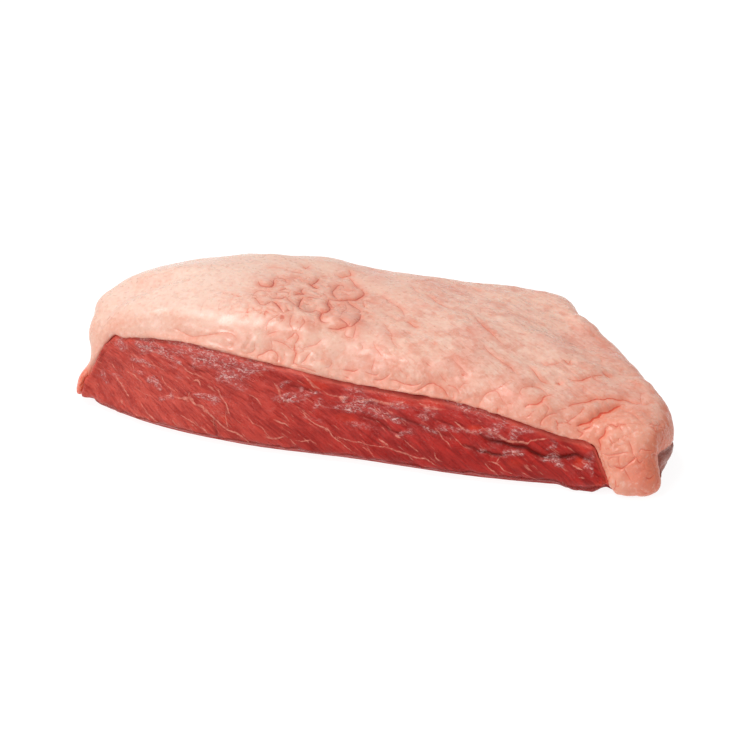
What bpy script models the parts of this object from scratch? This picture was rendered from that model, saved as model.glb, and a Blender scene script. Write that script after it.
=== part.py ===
"""Raw picanha (rump cap): one long wedge of lean muscle under a draped cap of fat.

The cut lies fat side up. Its trimmed face runs along -Y, the round thick end is at -X and the
broad thin end at +X, where a tongue of fat folds over the front corner. Both solids are lofted
on the same spokes, which run from a spine inside the cut to its outline.
Metres, +Z up, origin under the middle of the cut on the surface that it lies on. The sizes
below are in mm, from a point that the finished cut is moved away from at the end.
"""

import math

import bmesh
import bpy
import numpy as np

MM = 0.001

# Places round the cut, in order from the round end's tip along the trimmed face: the foot's
# place in plan, how far the side and the shoulder lie back from the foot, the shoulder's
# height, the top's height TOP_BACK further in, the height of the fat's lower edge and the
# fat's full thickness.
PLACES = {
    #                x    y   side shoulder height top edge fat
    "tip":        (-141, -16,   2,      8,    40,  55,   7,  9),
    "tip_near":   (-139, -20,   2,     10,    41,  56,  14,  9),
    "near_tip":   (-135, -24,   4,     12,    42,  57,  35, 10),
    "left_near":  (-125, -29,   5,     14,    46,  58,  40, 12),
    "near_left":  (-109, -35,   5,     17,    49,  59,  43, 13),
    "near_third": ( -55, -44,   5,     20,    51,  59,  42, 14),
    "near_mid":   (   0, -43,   4,     20,    46,  53,  36, 12),
    "near_right": (  62, -43,   4,     20,    40,  46,  32, 11),
    "near_end":   (  99, -39,   2,     13,    32,  39,  25, 10),
    "corner":     ( 135, -32,   1,      7,    29,  35,  20,  8),
    "right_near": ( 139,  -7,  -2,      4,    29,  35,  14,  8),
    "right_mid":  ( 124,  33,   1,      8,    31,  37,  17,  9),
    "right_back": ( 108,  55,   1,      8,    33,  38,  18,  9),
    "right_far":  (  88,  74,   1,      7,    38,  41,  19,  9),
    "far_right":  (  75,  96,   1,      8,    36,  41,  21,  9),
    "far_mid":    (   6,  90,   2,     11,    42,  49,  22, 11),
    "far_left":   ( -62,  80,   2,     11,    49,  60,  24, 13),
    "left_far":   (-113,  53,   2,      8,    50,  61,  20, 12),
    "left_end":   (-145,  11,   2,      4,    43,  61,   8, 10),
}
TURN = "right_near"  # the place that ends the near half of the outline

# The spine: the line inside the cut that every spoke runs to.
SPINE_ENDS = ((-82, 15), (62, 32))
SPINE_HEIGHTS = (63, 45)
SPINE_REACH = (-128, 118)  # the plan x where the spokes come to the spine's ends
SPINE_EASE = 0.35  # how far the spokes crowd at the spine's ends, from 0 to 1

TOP_BACK = 34
CROWN_RISE = 0.8  # how far the top bows up between its crown and the top points
SIDE_SHARE = 0.4  # the side point's height as a share of the shoulder's
FOOT_HEIGHT = 5
FOOT_BACK = 6  # how far the flat underside starts behind the foot
HEART = (42, 10)  # thickness is measured towards this back and height, or down if further in

SPOKES = 128
PROFILE_POINTS = 161
OUTLINE_POINTS = 2001  # the outline's fine division, from which the spokes' shares are read
CROWDED = {"tip_near": 4.5, "corner": 3.2}  # places with more spokes
CROWD_WIDTH = 22
OUTER_RINGS = 21
INNER_RINGS = 7
INNER_CROWDING = 1.5  # above 1, the inner rings stand closer together near the edge
SIDE_RINGS = 8
SPINE_RING = 4  # how far from the spine the innermost ring runs
CROWN_RINGS = 7  # the fat's top rings that are smoothed together
CROWN_PASSES = 12

LIP = 2.8  # the fat's thickness at its lower edge
LIP_STEPS = 3
LIP_RAMP = 18  # how far in from the edge the fat reaches its full thickness
STEP_RAMP = 7  # how far below the edge the muscle comes out flush with the fat
GAP = 0.45  # measured in a spoke's plane, so that at least 0.3 mm stays between the solids

# The tongue of fat over the front corner, measured along the outline from the corner place.
TONGUE_START = -24
TONGUE_END = 9
TONGUE_EDGE = 6  # how fast its two sides fall
TONGUE_FOOT = 1.5
TONGUE_BULGE = 2.8
TONGUE_BULGE_TOP = 26  # how far above the rim the bulge starts
TONGUE_BULGE_RAMP = 16
TONGUE_HANG = 3.5  # how much further its rounded rim hangs down
TONGUE_HANG_SHARE = 2  # above 1, its sides hang less than its middle
TONGUE_STEP = 26  # how much slower the muscle beside it comes out flush
TONGUE_STEP_REACH = 1 / 3  # below 1, that also holds well beside the tongue

# The knob of fat at the foot of the round end: its middle, its radius and how it hangs out.
KNOB = (-141, -17, 11)
KNOB_RADIUS = 11
KNOB_PLATEAU = 1.7  # above 1, the middle of the knob moves as one
KNOB_HANG = (-5, -4, -3)

# Folds of the fat, as plan lines, each with its depth and half width: three round the tongue,
# then those of the knotted patch on the thick half.
FOLDS = (
    (((96, -30), (105, -29), (110, -26), (117, -16), (124, -2)), 2.0, 5.0),
    (((78, -14), (91, -8), (103, -1), (114, 4)), 1.2, 6.0),
    (((114, -34), (117, -30), (122, -27), (133, -14)), 1.5, 4.5),
    (((-53, -7), (-42, 1), (-27, -1), (-19, 15)), 1.3, 5.5),
    (((-27, -1), (-22, -13), (-12, -17), (-2, -16)), 1.0, 5.5),
    (((-27, -1), (-36, 18), (-33, 37), (-26, 46)), 1.0, 6.0),
    (((-19, 15), (-15, 29), (-7, 20), (-3, -1)), 1.0, 5.5),
)

# Clefts between the muscle's bundles on the trimmed face, as lines of x and height.
CLEFTS = (
    (((50, 21), (68, 18), (86, 17), (104, 15)), 2.0, 2.6),
    (((30, 25), (46, 20), (60, 15), (78, 7)), 1.2, 2.6),
)
CLEFT_FACE = -20  # the trimmed face lies in front of this y

# Lumps of the fat and of the muscle's sides: wave length and height.
FAT_LUMPS = ((46, 0.8), (23, 0.6), (15, 0.4))
MUSCLE_LUMPS = ((38, 0.7), (17, 0.6))
LUMP_WAVES = 9
LUMP_RAMP = 14  # how far below the edge the muscle's lumps reach their full height
SEED = 11


def closed_curve(knots, values, at):
    """A smooth closed curve through values at knots, both within 0 to 1, read at the shares at."""
    knots = np.concatenate([knots - 1, knots, knots + 1])
    values = np.concatenate([values, values, values])
    span = np.diff(knots)
    slope = np.diff(values) / span
    tangent = np.zeros_like(values)
    tangent[1:-1] = (slope[:-1] * span[1:] + slope[1:] * span[:-1]) / (span[1:] + span[:-1])
    i = np.searchsorted(knots, at, side="right") - 1
    u = (at - knots[i]) / span[i]
    return (
        (1 + 2 * u) * (1 - u) ** 2 * values[i]
        + u * (1 - u) ** 2 * span[i] * tangent[i]
        + u * u * (3 - 2 * u) * values[i + 1]
        + u * u * (u - 1) * span[i] * tangent[i + 1]
    )


def smooth_step(x):
    x = np.clip(x, 0, 1)
    return x * x * (3 - 2 * x)


def places_round():
    """Each place's share of the outline, the outline's length, and the places' sizes."""
    sizes = np.array(list(PLACES.values()), float)
    chords = np.linalg.norm(np.roll(sizes[:, :2], -1, axis=0) - sizes[:, :2], axis=1)
    length = chords.sum()
    return (np.cumsum(chords) - chords) / length, length, sizes


def offset_from(shares, knot, length):
    """How far along the outline the shares lie from a knot."""
    return ((shares - knot + 0.5) % 1 - 0.5) * length


def spoke_shares(knots, length):
    """Shares of the outline where the spokes stand: as many on the near half as on the far
    half, and closer together where the fat's edge is steep."""
    names = list(PLACES)
    dense = np.linspace(0, 1, OUTLINE_POINTS)
    weight = np.ones_like(dense)
    for name, extra in CROWDED.items():
        off = offset_from(dense, knots[names.index(name)], length)
        weight += extra * np.exp(-((off / CROWD_WIDTH) ** 2))
    run = np.concatenate([[0], np.cumsum((weight[1:] + weight[:-1]) / 2)])
    turn = knots[names.index(TURN)]
    halves = []
    for start, end in ((0, turn), (turn, 1)):
        low, high = np.interp([start, end], dense, run)
        steps = np.linspace(low, high, SPOKES // 2, endpoint=False)
        halves.append(np.interp(steps, run, dense))
    return np.concatenate(halves)


def through_points(points, samples):
    """Catmull-Rom curves through points, each an array of one point per spoke. They start level."""
    before = points[1] * (-1, 1) + points[0] * (2, 0)
    padded = [before, *points, 2 * points[-1] - points[-2]]
    rows = []
    for u in np.linspace(0, len(points) - 1, samples):
        i = min(int(u), len(points) - 2)
        a, b, c, d = padded[i : i + 4]
        t = u - i
        cubic = (2 * a - 5 * b + 4 * c - d) * t**2 + (3 * b - a - 3 * c + d) * t**3
        rows.append(0.5 * (2 * b + (c - a) * t + cubic))
    return np.stack(rows)


class Cut:
    """The whole cut's outer form: the spokes' plan lines and their profiles, spine to foot."""

    def __init__(self):
        knots, length, sizes = places_round()
        shares = spoke_shares(knots, length)
        columns = [closed_curve(knots, sizes[:, k], shares) for k in range(sizes.shape[1])]
        x, y, side, shoulder, height, top, edge, self.fat = columns
        self.foot = np.stack([x, y], axis=1)
        along = (x - SPINE_REACH[0]) / (SPINE_REACH[1] - SPINE_REACH[0])
        along = (1 - SPINE_EASE) * np.clip(along, 0, 1) + SPINE_EASE * smooth_step(along)
        start, end = np.array(SPINE_ENDS, float)
        to_spine = start + (end - start) * along[:, None] - self.foot
        reach = np.linalg.norm(to_spine, axis=1)
        self.inward = to_spine / reach[:, None]
        crown = SPINE_HEIGHTS[0] + (SPINE_HEIGHTS[1] - SPINE_HEIGHTS[0]) * along
        points = [
            (reach, crown),
            ((reach + TOP_BACK) / 2, (crown + top) / 2 + CROWN_RISE),
            (np.full(SPOKES, TOP_BACK), top),
            (shoulder, height),
            (side, height * SIDE_SHARE),
            (np.zeros(SPOKES), np.full(SPOKES, FOOT_HEIGHT)),
        ]
        self.profile = through_points([np.stack(p, axis=1) for p in points], PROFILE_POINTS)
        steps = np.linalg.norm(np.diff(self.profile, axis=0), axis=2)
        self.run = np.concatenate([np.zeros((1, SPOKES)), np.cumsum(steps, axis=0)])
        off = offset_from(shares, knots[list(PLACES).index("corner")], length)
        rise = smooth_step((off - TONGUE_START) / TONGUE_EDGE)
        self.tongue = rise * smooth_step((TONGUE_END - off) / TONGUE_EDGE)
        edge += (TONGUE_FOOT + FOOT_HEIGHT - edge) * self.tongue
        self.edge_run = self.run_at_height(edge)

    def run_at_height(self, heights):
        """How far from the spine each profile comes down to its height."""
        found = np.empty(SPOKES)
        lower = slice(len(self.profile) // 2, None)
        for k in range(SPOKES):
            found[k] = np.interp(-heights[k], -self.profile[lower, k, 1], self.run[lower, k])
        return found

    def at(self, run):
        """Places in the spokes' planes at these runs, and the ways out of the cut there."""
        point = np.empty((SPOKES, 2))
        for k in range(SPOKES):
            for axis in (0, 1):
                point[k, axis] = np.interp(run[k], self.run[:, k], self.profile[:, k, axis])
        out = point - np.array(HEART, float)
        out[:, 0] = np.minimum(out[:, 0], 0)
        return point, out / np.linalg.norm(out, axis=1)[:, None]

    def place(self, point):
        """Points of the spokes' planes, as (back, height), in space."""
        plan = self.foot + self.inward * point[:, :1]
        return np.concatenate([plan, point[:, 1:]], axis=1)

    def way(self, flat_way):
        return np.concatenate([self.inward * flat_way[:, :1], flat_way[:, 1:]], axis=1)

    def sunk(self, run, depth):
        """A ring of the cut at these runs, sunk by depth."""
        point, out = self.at(run)
        return self.place(point) - self.way(out) * depth[:, None]


def lump_waves(lumps, seed):
    """Random plane waves, each a way, a phase and a height, that add up to uneven lumps."""
    draw = np.random.default_rng(seed)
    waves = []
    for length, height in lumps:
        for _ in range(LUMP_WAVES):
            way = draw.normal(size=3)
            way *= 2 * math.pi / length / np.linalg.norm(way)
            waves.append((way, draw.uniform(0, 2 * math.pi), height / math.sqrt(LUMP_WAVES)))
    return waves


def lump_height(points, waves):
    return sum(height * np.sin(points @ way + phase) for way, phase, height in waves)


def distance_to_line(points, line):
    """Distance from points of a plane to a line of several stretches."""
    line = np.array(line, float)
    nearest = np.full(len(points), np.inf)
    for start, end in zip(line[:-1], line[1:]):
        along = end - start
        share = np.clip((points - start) @ along / (along @ along), 0, 1)
        off = points - start - share[:, None] * along
        nearest = np.minimum(nearest, np.linalg.norm(off, axis=1))
    return nearest


def fat_relief(points, waves):
    """How far the fat stands out at points."""
    height = lump_height(points, waves)
    for line, depth, half in FOLDS:
        height -= depth * np.exp(-((distance_to_line(points[:, :2], line) / half) ** 2))
    return height


def muscle_relief(points, waves):
    """How far the muscle stands out at points."""
    height = lump_height(points, waves)
    for line, depth, half in CLEFTS:
        cleft = np.exp(-((distance_to_line(points[:, ::2], line) / half) ** 2))
        height -= depth * cleft * (points[:, 1] < CLEFT_FACE)
    return height


def covered_thickness(cut, run):
    """The fat's thickness at these runs, from its lip at the edge to its full depth inside."""
    return LIP + (cut.fat - LIP) * smooth_step((cut.edge_run - run) / LIP_RAMP)


def inner_runs(cut):
    """Runs of the rings where fat and muscle meet, from the spine to the edge."""
    shares = 1 - (1 - np.linspace(0, 1, INNER_RINGS)) ** INNER_CROWDING
    return [SPINE_RING + (cut.edge_run - SPINE_RING) * share for share in shares]


def fat_rings(cut):
    """The fat's rings: out over its top, round its lip and back in on its underside."""
    waves = lump_waves(FAT_LUMPS, SEED)
    rings = []
    for share in np.linspace(0, 1, OUTER_RINGS):
        run = SPINE_RING + (cut.edge_run - SPINE_RING) * share
        up = fat_relief(cut.sunk(run, np.zeros(SPOKES)), waves)
        near_rim = (run - cut.edge_run + TONGUE_BULGE_TOP) / TONGUE_BULGE_RAMP
        up += TONGUE_BULGE * cut.tongue * smooth_step(near_rim)
        rings.append(cut.sunk(run, -up))
    inner_edge = cut.sunk(cut.edge_run, np.full(SPOKES, LIP))
    middle, radius = (rings[-1] + inner_edge) / 2, (rings[-1] - inner_edge) / 2
    out = cut.at(cut.edge_run)[1]
    down = cut.way(np.stack([-out[:, 1], out[:, 0]], axis=1))
    down *= (LIP / 2 + TONGUE_HANG * cut.tongue**TONGUE_HANG_SHARE)[:, None]
    for step in range(1, LIP_STEPS + 1):
        turn = math.pi * step / (LIP_STEPS + 1)
        rings.append(middle + radius * math.cos(turn) + down * math.sin(turn))
    for ring in rings:
        far = np.linalg.norm(ring - np.array(KNOB, float), axis=1) / KNOB_RADIUS
        ring += np.array(KNOB_HANG) * smooth_step(KNOB_PLATEAU * (1 - far))[:, None]
    for run in reversed(inner_runs(cut)):
        rings.append(cut.sunk(run, covered_thickness(cut, run)))
    return rings


def muscle_rings(cut):
    """The muscle's rings: out under the fat, down its sides and in to the flat underside."""
    waves = lump_waves(MUSCLE_LUMPS, SEED + 1)
    rings = [cut.sunk(run, covered_thickness(cut, run) + GAP) for run in inner_runs(cut)]
    ramp = STEP_RAMP + TONGUE_STEP * cut.tongue**TONGUE_STEP_REACH
    for share in np.linspace(0, 1, SIDE_RINGS + 1)[1:]:
        below = (cut.run[-1] - cut.edge_run) * share
        run = cut.edge_run + below
        up = muscle_relief(cut.sunk(run, np.zeros(SPOKES)), waves)
        up *= smooth_step(below / LUMP_RAMP) * (1 - share) * (1 - smooth_step(2 * cut.tongue))
        rings.append(cut.sunk(run, (LIP + GAP) * (1 - smooth_step(below / ramp)) - up))
    floor = rings[-1].copy()
    floor[:, :2] += cut.inward * FOOT_BACK
    floor[:, 2] = 0
    return [*rings, floor]


def ring_rows(bm, rings, middle):
    return [[bm.verts.new((point - middle) * MM) for point in ring] for ring in rings]


def skin(bm, rows):
    """Two triangles for each cell between neighbouring rings, listed from the spine outwards."""
    for upper, lower in zip(rows[:-1], rows[1:]):
        for k in range(SPOKES):
            n = (k + 1) % SPOKES
            bm.faces.new((upper[k], lower[k], lower[n]))
            bm.faces.new((upper[k], lower[n], upper[n]))


def close_over_spine(bm, row):
    """Closes a ring round the spine: each near spoke joins the far spoke across from it."""
    half = SPOKES // 2
    for k in range(half):
        near, near_next = row[k], row[k + 1]
        far, far_next = row[-k], row[-k - 1]
        if k > 0:
            bm.faces.new((near, near_next, far))
        if k < half - 1:
            bm.faces.new((near_next, far_next, far))


def finish(bm, name, colour, roughness):
    """Makes a named object with its own material out of a closed mesh."""
    bmesh.ops.recalc_face_normals(bm, faces=bm.faces)
    mesh = bpy.data.meshes.new(name)
    bm.to_mesh(mesh)
    bm.free()
    mesh.shade_smooth()
    material = bpy.data.materials.new(name)
    material.use_nodes = True
    shader = material.node_tree.nodes["Principled BSDF"]
    shader.inputs["Base Color"].default_value = (*colour, 1)
    shader.inputs["Roughness"].default_value = roughness
    shader.inputs["Metallic"].default_value = 0
    mesh.materials.append(material)
    bpy.context.scene.collection.objects.link(bpy.data.objects.new(name, mesh))


def fat_cap(rings, middle):
    bm = bmesh.new()
    rows = ring_rows(bm, rings, middle)
    crown = [vert for row in rows[:CROWN_RINGS] for vert in row]
    underside = len(rows) - INNER_RINGS
    skin(bm, rows[: underside + 1])
    skin(bm, rows[: underside - 1 : -1])
    close_over_spine(bm, rows[0])
    close_over_spine(bm, rows[-1])
    for _ in range(CROWN_PASSES):
        bmesh.ops.smooth_vert(
            bm, verts=crown, factor=0.5, use_axis_x=True, use_axis_y=True, use_axis_z=True
        )
    finish(bm, "fat_cap", (0.85, 0.58, 0.47), 0.45)


def lean_muscle(rings, middle):
    bm = bmesh.new()
    rows = ring_rows(bm, rings, middle)
    skin(bm, rows)
    close_over_spine(bm, rows[0])
    bm.faces.new(rows[-1])
    finish(bm, "lean_muscle", (0.40, 0.05, 0.04), 0.35)


def main():
    for old in list(bpy.data.objects):
        bpy.data.objects.remove(old, do_unlink=True)
    cut = Cut()
    fat, muscle = fat_rings(cut), muscle_rings(cut)
    everything = np.concatenate(fat + muscle)
    middle = (everything.min(axis=0) + everything.max(axis=0)) / 2
    middle[2] = 0
    fat_cap(fat, middle)
    lean_muscle(muscle, middle)


main()
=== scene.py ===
import math

import bmesh
import bpy
import numpy as np
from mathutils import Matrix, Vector, noise
from mathutils.bvhtree import BVHTree


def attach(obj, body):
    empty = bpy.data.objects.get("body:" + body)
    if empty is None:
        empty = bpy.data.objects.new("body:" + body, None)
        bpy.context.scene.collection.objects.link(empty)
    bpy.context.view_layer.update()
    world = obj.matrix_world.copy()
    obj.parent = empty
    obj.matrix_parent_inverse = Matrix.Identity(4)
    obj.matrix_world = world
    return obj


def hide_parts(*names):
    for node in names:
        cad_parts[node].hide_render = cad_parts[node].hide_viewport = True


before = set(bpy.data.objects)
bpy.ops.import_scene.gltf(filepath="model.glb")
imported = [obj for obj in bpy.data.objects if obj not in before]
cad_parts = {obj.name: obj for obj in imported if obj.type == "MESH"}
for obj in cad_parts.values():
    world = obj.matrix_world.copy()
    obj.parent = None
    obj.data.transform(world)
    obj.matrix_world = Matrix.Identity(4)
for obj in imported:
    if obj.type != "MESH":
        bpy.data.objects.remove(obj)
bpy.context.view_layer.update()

# ------------------------------------------------------------------ lean muscle
# The rump cap muscle: one wedge of deep red beef, cut clean along the front, so that its
# bundles run down and to the right across the cut. It is wet, with thin cream marbling.

# Sizes of the meat are in mm, and MM makes them metres.
MM = 0.001
# The mesh of the skin: its size, its first and last smoothing passes, and the share of faces
# that is kept when the hidden ones are made coarse.
LEAN_VOXEL = 0.9
LEAN_SMOOTHING = 10
LAST_SMOOTHING = 3
LEAN_KEPT = 0.42
# How steeply the bundles cross the cut, in degrees, at the foot and from GRAIN_TOP up.
GRAIN_LOW = 40.0
GRAIN_HIGH = 17.0
GRAIN_TOP = 40.0
# How far each form rises from the skin or sinks into it.
BUNDLE_RISE = 0.22
FIBRE_RISE = 0.12
LEAN_LUMPS = 0.5
VEIN_RISE = 0.12
WET_RISE = 0.3
RAGGED_FOOT = 0.8
GULLY_DEPTH = 0.5
LEAN_INSET = 0.45
# How far the lip of the fat stands proud of the lean, and the most that the lean swells there.
LIP = 0.3
LIP_SWELLING = 3.6
# The line along the middle of the meat that its outer sides face away from.
HEART = ((-95, 5, 12), (105, 5, 6))
# A soft swelling by the tongue and a hollow under the fat: middle, radius and height.
LEAN_SWELLINGS = ((108, -66, 2, 13, 2.6), (27, -55, 36, 13, -1.4))

# Each vein of marbling: half width, and where it runs on the cut, along and up, all in mm.
VEINS = (
    (0.55, ((-90, 18), (-86, 19), (-82, 19), (-78, 20), (-74, 18), (-70, 17), (-67, 15), (-64, 13),
        (-59, 11), (-55, 9), (-50, 7), (-47, 5), (-45, 1))),
    (0.95, ((-80, 19), (-77, 20), (-75, 19))),
    (1, ((-73, 18), (-70, 17), (-68, 15))),
    (0.35, ((-78, 20), (-77, 22))),
    (0.5, ((-119, 20), (-117, 18), (-114, 16), (-113, 15), (-110, 13))),
    (0.4, ((-109, 28), (-108, 26))),
    (0.4, ((-112, 24), (-108, 24), (-106, 23), (-103, 22))),
    (0.45, ((-107, 38), (-105, 38), (-102, 37), (-98, 36), (-94, 36), (-92, 35))),
    (0.35, ((-93, 27), (-92, 25), (-89, 22), (-85, 21))),
    (0.6, ((-76, 27), (-74, 28), (-72, 26))),
    (0.5, ((-63, 26), (-61, 23), (-59, 21), (-57, 18), (-55, 16))),
    (0.4, ((-58, 17), (-57, 14), (-56, 10))),
    (0.5, ((-100, 9), (-98, 8), (-95, 6), (-91, 4))),
    (0.4, ((-106, 6), (-103, 4))),
    (0.4, ((-70, 8), (-68, 7), (-66, 4))),
    (0.3, ((-103, 12), (-99, 9))),
    (0.3, ((-123, 26), (-121, 24), (-118, 22))),
    (0.3, ((-107, 18), (-102, 17), (-97, 16))),
    (0.3, ((-64, 13), (-64, 10), (-61, 7))),
    (0.35, ((-105, 30), (-99, 30), (-95, 30), (-92, 29))),
    (0.35, ((-91, 34), (-86, 34), (-82, 33), (-78, 31), (-73, 30), (-69, 29))),
    (0.35, ((-81, 11), (-76, 10), (-71, 8))),
    (0.4, ((-48, 26), (-45, 25), (-43, 24), (-41, 22))),
    (0.7, ((-36, 32), (-34, 30), (-33, 27), (-31, 26), (-28, 25))),
    (0.35, ((-47, 17), (-45, 15), (-44, 14), (-40, 13), (-38, 11), (-34, 9))),
    (0.4, ((-31, 20), (-29, 19), (-27, 17))),
    (0.5, ((-34, 17), (-31, 16), (-29, 16), (-27, 15))),
    (0.4, ((-23, 22), (-19, 20), (-16, 18), (-12, 16), (-8, 15), (-6, 13), (-3, 11), (0, 9), (2, 8),
        (5, 7))),
    (0.45, ((-11, 30), (-7, 30), (-4, 30), (-2, 29), (0, 30))),
    (1.1, ((-5, 30), (-3, 29), (-1, 30))),
    (0.35, ((-5, 29), (-2, 27), (1, 25))),
    (0.7, ((3, 28), (7, 29), (10, 29), (13, 29), (18, 29), (22, 29), (25, 30))),
    (0.5, ((22, 31), (24, 30), (22, 29))),
    (0.4, ((-4, 13), (-1, 12), (3, 12), (7, 12), (10, 11), (14, 11))),
    (0.5, ((14, 11), (17, 11), (21, 11), (26, 10), (31, 9), (35, 8), (39, 8), (44, 6))),
    (0.5, ((15, 14), (17, 13), (20, 12))),
    (0.4, ((28, 15), (31, 13), (34, 11))),
    (0.4, ((-24, 9), (-21, 9), (-17, 10), (-16, 10), (-13, 8))),
    (0.6, ((-38, 9), (-34, 9), (-32, 9), (-29, 10))),
    (0.6, ((23, 17), (26, 16))),
    (0.35, ((8, 10), (10, 9))),
    (0.5, ((-24, 36), (-20, 34), (-17, 32))),
    (0.4, ((40, 22), (43, 20), (45, 18), (47, 17), (49, 15))),
    (0.8, ((62, 24), (64, 23), (68, 22), (71, 21), (75, 20), (79, 20), (83, 20))),
    (0.4, ((82, 19), (84, 21), (88, 22), (91, 22))),
    (0.7, ((30, 31), (32, 30), (34, 29), (39, 29), (44, 29))),
    (0.5, ((49, 25), (52, 23), (55, 21), (58, 21))),
    (0.4, ((42, 12), (43, 10), (46, 9))),
    (0.4, ((65, 10), (67, 8), (70, 6), (71, 3))),
    (0.4, ((66, 11), (71, 10), (74, 8), (78, 7))),
    (0.3, ((47, 21), (51, 18), (54, 16), (57, 15))),
    (0.5, ((103, 13), (105, 12), (108, 11))),
    (0.35, ((82, 8), (85, 6), (88, 5))),
    (0.35, ((107, 8), (109, 8))),
    (0.45, ((70, 11), (71, 13), (73, 14))),
    (0.4, ((11, 28), (12, 26), (15, 25), (19, 25))),
)
# Each cleft between bundles, darkened with painted shade: depth, and where it runs on the cut,
# along and up, all in mm.
CLEFTS = (
    (1, ((61, 21), (64, 20), (68, 19), (72, 19), (76, 18), (79, 18), (82, 18), (84, 17), (87, 16),
        (91, 15), (95, 15), (100, 16), (104, 17), (108, 16), (111, 16))),
    (0.8, ((54, 16), (58, 16), (62, 15), (65, 15), (67, 14), (70, 14), (73, 14), (76, 15))),
    (0.5, ((15, 25), (19, 24), (24, 24), (29, 23), (34, 22), (38, 21), (43, 20), (48, 19))),
    (0.5, ((5, 23), (10, 22), (14, 21), (19, 19), (24, 18), (30, 18))),
    (0.35, ((36, 27), (40, 25), (45, 24), (49, 23))),
    (0.3, ((-70, 37), (-68, 39))),
    (0.45, ((-64, 12), (-63, 8), (-62, 1))),
    (0.35, ((-80, 35), (-76, 33), (-72, 32), (-68, 32))),
    (0.35, ((-29, 31), (-24, 31), (-19, 31), (-14, 30))),
    (0.35, ((-20, 35), (-15, 34), (-10, 33))),
    (0.4, ((8, 28), (11, 28), (16, 28))),
)
# Wet patches on the cut, smoother and bumpier, with a painted sheen and painted glints: middle and
# half sizes, along and up, in mm, and strength.
WET = (
    (-101, 39, 8.3, 3.2, 0.9),
    (-86, 41, 7.8, 3.2, 0.8),
    (-70, 39, 9.8, 5.3, 0.9),
    (-59, 38, 6.9, 3.7, 0.8),
    (-61, 33, 10.8, 2.7, 0.8),
    (-47, 36, 6.9, 3.7, 0.9),
    (-32, 32, 4.4, 1.6, 0.9),
    (-46, 42, 5.9, 2.7, 0.5),
    (-18, 31, 5.9, 1.6, 0.7),
    (-1, 24, 3.4, 1.1, 1.0),
    (18, 24, 5.9, 2.1, 1.0),
    (30, 18, 4.4, 1.6, 0.6),
    (69, 26, 3.4, 1.6, 0.8),
    (79, 24, 4.9, 2.1, 0.8),
    (94, 14, 6.9, 2.1, 1.0),
    (77, 15, 3.9, 2.1, 0.8),
    (111, 15, 2.0, 4.2, 0.7),
    (63, 17, 2.9, 1.6, 0.6),
    (-124, 18, 3.9, 2.1, 0.5),
    (-116, 35, 2.9, 3.7, 0.6),
    (-101, 29, 3.9, 1.6, 0.8),
    (-92, 17, 3.9, 2.1, 0.6),
    (-87, 18, 2.9, 2.1, 0.5),
    (-89, 33, 3.9, 2.1, 0.9),
    (2, 32, 3.4, 1.6, 0.7),
    (-2, 30, 3.9, 1.6, 0.7),
    (-55, 32, 5.9, 4.2, 0.5),
    (-97, 23, 3.9, 1.6, 0.7),
    (-65, 20, 2.9, 3.2, 0.5),
    (93, 20, 2.9, 1.6, 0.6),
    (38, 22, 2.9, 1.1, 0.7),
    (96, 23, 5.9, 1.6, 0.5),
    (23, 29, 4.9, 1.6, 0.6),
    (35, 27, 5.9, 3.2, 0.5),
    (-81, 39, 8.8, 3.2, 0.5),
    (-14, 25, 3.9, 2.1, 0.5),
)
# The same for the orange patches, where the cut runs into fat or a thin fibre bundle.
WARM = (
    (59, 23, 4.4, 2.1, 0.8),
    (75, 25, 2.5, 1.6, 0.7),
    (107, 14, 3.9, 2.7, 1.0),
    (-16, 33, 7.8, 2.1, 0.6),
    (22, 30, 10.8, 1.6, 0.7),
    (-1, 21, 5.9, 2.1, 0.6),
    (36, 30, 5.9, 1.6, 0.7),
    (107, 21, 5.9, 3.2, 0.4),
    (-58, 14, 2.5, 2.1, 0.5),
    (78, 11, 3.9, 2.1, 0.4),
    (116, 6, 2.9, 1.6, 0.5),
)


def applied(piece):
    """Turns the modifiers of a piece into its mesh."""
    shape = piece.evaluated_get(bpy.context.evaluated_depsgraph_get())
    mesh = bpy.data.meshes.new_from_object(shape)
    piece.modifiers.clear()
    piece.data = mesh
    mesh.name = piece.name
    return mesh


def even_copy(node, name, voxel):
    """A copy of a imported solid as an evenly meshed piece, with square faces `voxel` mm across."""
    piece = bpy.data.objects.new(name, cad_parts[node].data.copy())
    bpy.context.scene.collection.objects.link(piece)
    piece.data.materials.clear()
    welded = bmesh.new()
    welded.from_mesh(piece.data)
    bmesh.ops.remove_doubles(welded, verts=welded.verts, dist=1e-6)
    welded.to_mesh(piece.data)
    welded.free()
    remesh = piece.modifiers.new("even", "REMESH")
    remesh.mode = "VOXEL"
    remesh.voxel_size = voxel * MM
    applied(piece)
    return piece


def places(mesh):
    """The places of a mesh's points, in mm."""
    co = np.empty(len(mesh.vertices) * 3)
    mesh.vertices.foreach_get("co", co)
    return co.reshape(-1, 3) / MM


def facings(mesh):
    """The outward directions of a mesh's points."""
    out = np.empty(len(mesh.vertices) * 3)
    mesh.vertex_normals.foreach_get("vector", out)
    return out.reshape(-1, 3)


def put(mesh, points):
    """Moves a mesh's points to new places, in mm."""
    mesh.vertices.foreach_set("co", (points * MM).ravel())
    mesh.update()


def relaxed(mesh, points, passes):
    """The points after a number of smoothing passes, each halfway to their neighbours' middle."""
    ends = np.empty(len(mesh.edges) * 2, dtype=int)
    mesh.edges.foreach_get("vertices", ends)
    one, other = ends[0::2], ends[1::2]
    count = np.bincount(ends, minlength=len(points))[:, None]
    for _ in range(passes):
        middle = np.zeros(points.shape)
        for axis in range(points.shape[1]):
            middle[:, axis] += np.bincount(one, points[other, axis], len(points))
            middle[:, axis] += np.bincount(other, points[one, axis], len(points))
        points = points + 0.5 * (middle / count - points)
    return points


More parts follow.
